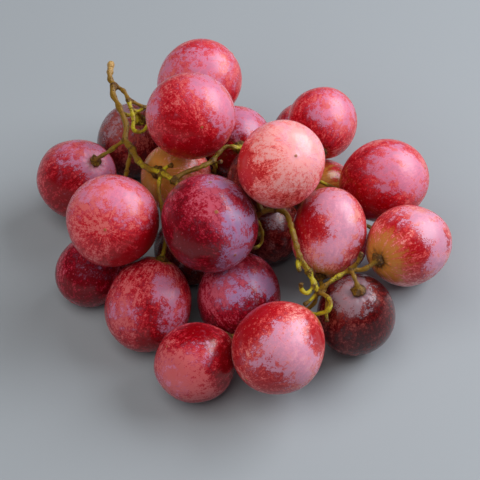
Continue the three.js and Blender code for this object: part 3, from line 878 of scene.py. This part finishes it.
def stalk_tube(points, radius, seed, ending):
    """Points and faces of one stem, and its path with how brown and how fresh each place of it is.

    Each ring is path + width * (1 + ridges) * spokes, and the tube ends in a point at both ends, which
    is sunk at a torn end."""
    rng = np.random.default_rng(seed)
    path, s = smooth_path(points)
    left = s[-1] - s
    size, flare = stalk_width(s, left, radius, ending, rng)
    phi = 2 * math.pi * np.arange(TUBE_SIDES) / TUBE_SIDES
    first, second, third = rng.uniform(0, 6, 3)
    ridges = ridges_round(phi, s, first, *RIDGES) + ridges_round(phi, s, second, *SMALL_RIDGES)
    ridges += flare[:, None] * ridges_round(phi, left, third, *PAD_RIDGES)
    rings = path[:, None] + (size[:, None] * (1 + ridges))[..., None] * spokes_along(path, phi)
    ahead = (path[-1] - path[-2]) / np.linalg.norm(path[-1] - path[-2])
    last = path[-1] + (-STUB_HOLLOW if ending == "stub" else END_DOME) * ahead
    points = np.vstack([path[:1], rings.reshape(-1, 3), last[None, :]])
    return points, grid_faces(len(path) + 2, TUBE_SIDES), path, *stalk_tones(s, left, ending, rng)


def joined_mesh(points, faces):
    """One closed skin over tubes that run into each other, at the grain JOIN_SIZE and softened once."""
    mesh = bpy.data.meshes.new("stalk tubes")
    mesh.from_pydata(points, [], faces)
    tubes = in_scene("stalk tubes", mesh)
    join = tubes.modifiers.new("join", "REMESH")
    join.mode = "VOXEL"
    join.voxel_size = JOIN_SIZE * MM
    soften = tubes.modifiers.new("soften", "SMOOTH")
    soften.factor = 0.5
    soften.iterations = 1
    joined = bpy.data.meshes.new_from_object(tubes.evaluated_get(bpy.context.evaluated_depsgraph_get()))
    bpy.data.objects.remove(tubes)
    return joined


def stalk_mesh():
    """All stems as one mesh. Each point is as brown and as fresh as the nearest place of a path."""
    corners, faces, paths, browns, freshes = [], [], [], [], []
    start = 0
    for seed, (points, radius, ending) in enumerate(all_stems()):
        tube, tube_faces, path, brown, fresh = stalk_tube(points, radius, seed, ending)
        corners.append(tube)
        faces += [[start + corner for corner in face] for face in tube_faces]
        start += len(tube)
        paths.append(path)
        browns.append(brown)
        freshes.append(fresh)
    joined = joined_mesh(np.vstack(corners) * MM, faces)
    middles = np.vstack(paths) * MM
    tree = KDTree(len(middles))
    for index, place in enumerate(middles):
        tree.insert(place, index)
    tree.balance()
    nearest = np.array([tree.find(vertex.co)[1] for vertex in joined.vertices])
    add_values(joined, "brown", np.concatenate(browns)[nearest])
    add_values(joined, "fresh", np.concatenate(freshes)[nearest])
    joined.polygons.foreach_set("use_smooth", np.ones(len(joined.polygons), bool))
    joined.name = "stalks"
    return joined


OLIVE = (0.22, 0.115, 0.008, 1)
YELLOW_GREEN = (0.44, 0.36, 0.012, 1)
BROWN = (0.065, 0.026, 0.008, 1)
DRIED = (0.50, 0.30, 0.09, 1)
WART = (0.30, 0.125, 0.025, 1)
BARK_SPECK = (0.07, 0.028, 0.007, 1)
STALK_FINISH = {
    "Subsurface Weight": 0.1, "Subsurface Radius": (0.8, 0.8, 0.2), "Subsurface Scale": 0.5 * MM,
}


def stalk_material():
    """Drying green wood: olive and yellow-green, and dark brown with paler warts at nodes and pads."""
    material, tree, sockets = new_material("stalk", STALK_FINISH)
    in_mm = place_in_mm(tree)
    grains = {
        "slow": noise(tree, in_mm, scale=0.16, detail=2.0, rough=0.5),
        "middling": noise(tree, in_mm, scale=0.7, detail=3.0, rough=0.6),
        "fine": noise(tree, in_mm, scale=2.2, detail=3.0, rough=0.65),
    }
    fresh = value_of(tree, "fresh")
    green = ramp(tree, shaken(tree, fresh, grains, slow=2.0, middling=1.2), 0.50, 0.95)
    brown = shaken(tree, value_of(tree, "brown"), grains, middling=2.4, fine=1.6, slow=0.8)
    brown = ramp(tree, brown, 0.22, 0.7)
    dry = shaken(tree, maths(tree, "MULTIPLY", fresh, -1.0), grains, middling=0.8)
    dry = ramp(tree, dry, 0.2, 0.8)
    wart = maths(tree, "MULTIPLY", brown, spots(tree, in_mm, scale=1.1, core=0.1, edge=0.55))
    speck = ramp(tree, shaken(tree, 0.0, grains, fine=1.0, middling=0.7), 0.06, 0.2)
    colour = lay_over(tree, OLIVE, green, YELLOW_GREEN)
    colour = lay_over(tree, colour, brown, BROWN, most=0.9)
    colour = lay_over(tree, colour, dry, DRIED, most=0.85)
    colour = lay_over(tree, colour, wart, WART, most=0.7)
    colour = lay_over(tree, colour, speck, BARK_SPECK, most=0.75)
    rough = shaken(tree, total(tree, 0.48, (brown, 0.2)), grains, fine=0.15)
    height = total(tree, shaken(tree, 0.0, grains, fine=0.22, middling=0.25), (wart, 0.25))
    link_surface(tree, sockets, colour, rough, height)
    return material


stalks = in_scene("stalks", stalk_mesh())
stalks.data.materials.clear()
stalks.data.materials.append(stalk_material())
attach(stalks, "root")
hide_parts("stem")


# ---------------------------------------------------------------------------------------------
# Camera, light and floor: a view from the front, 46.5 degrees above the surface, on a plain pale
# floor, with one large soft window-like light from the right and a dim even light all round.

VIEW_DISTANCE = 0.55    # metres from the aim to the camera
SENSOR = 36.0           # mm
LENS = 133.0            # mm
AIM_RIGHT = 0.9 * MM    # the aim, from the middle of the bunch on the floor
AIM_BACK = 10.6 * MM
FLOOR_REACH = 3.0       # metres

low, high = cad_box
aim = np.array([(low[0] + high[0]) / 2 + AIM_RIGHT, (low[1] + high[1]) / 2 + AIM_BACK, 0.0])
camera = in_scene("camera", bpy.data.cameras.new("camera"))
camera.data.lens = LENS
camera.data.sensor_width = SENSOR
camera.location = aim + VIEW_DISTANCE * TO_VIEWER
camera.rotation_euler = (math.pi / 2 - VIEW_TILT, 0, 0)
bpy.context.scene.camera = camera

floor_mesh = bpy.data.meshes.new("floor")
floor_mesh.from_pydata([(-FLOOR_REACH, -FLOOR_REACH, 0), (FLOOR_REACH, -FLOOR_REACH, 0),
                        (FLOOR_REACH, FLOOR_REACH, 0), (-FLOOR_REACH, FLOOR_REACH, 0)], [], [(0, 1, 2, 3)])
FLOOR_FINISH = {"Base Color": (0.31, 0.335, 0.36, 1), "Roughness": 0.6}
floor_mesh.materials.append(new_material("pale floor", FLOOR_FINISH)[0])
floor = in_scene("floor", floor_mesh)


def area_light(name, towards, distance, size, power, colour):
    """A soft rectangular light of that size at a distance from the aim, facing it."""
    data = bpy.data.lights.new(name, "AREA")
    data.shape = "RECTANGLE"
    data.size, data.size_y = size
    data.energy = power
    data.color = colour
    light = in_scene(name, data)
    direction = np.array(towards) / np.linalg.norm(towards)
    light.location = aim + distance * direction
    light.rotation_mode = "QUATERNION"
    light.rotation_quaternion = Vector(direction).to_track_quat("Z", "Y")
    return light


area_light("window", towards=(0.72, 0.27, 0.64), distance=0.9, size=(0.85, 0.60), power=10.6,
           colour=(0.95, 0.97, 1.0))
room = area_light("room", towards=(-0.35, -0.35, 0.85), distance=1.3, size=(1.4, 1.4), power=13.4,
                  colour=(1.0, 0.98, 0.95))
room.visible_glossy = False     # it stands for light from all round, so it isn't seen in the gloss

world = bpy.data.worlds.new("soft room")
world.use_nodes = True
world.node_tree.nodes["Background"].inputs["Color"].default_value = (0.9, 0.93, 1.0, 1)
world.node_tree.nodes["Background"].inputs["Strength"].default_value = 0.07
bpy.context.scene.world = world
bpy.context.scene.view_settings.view_transform = "Standard"
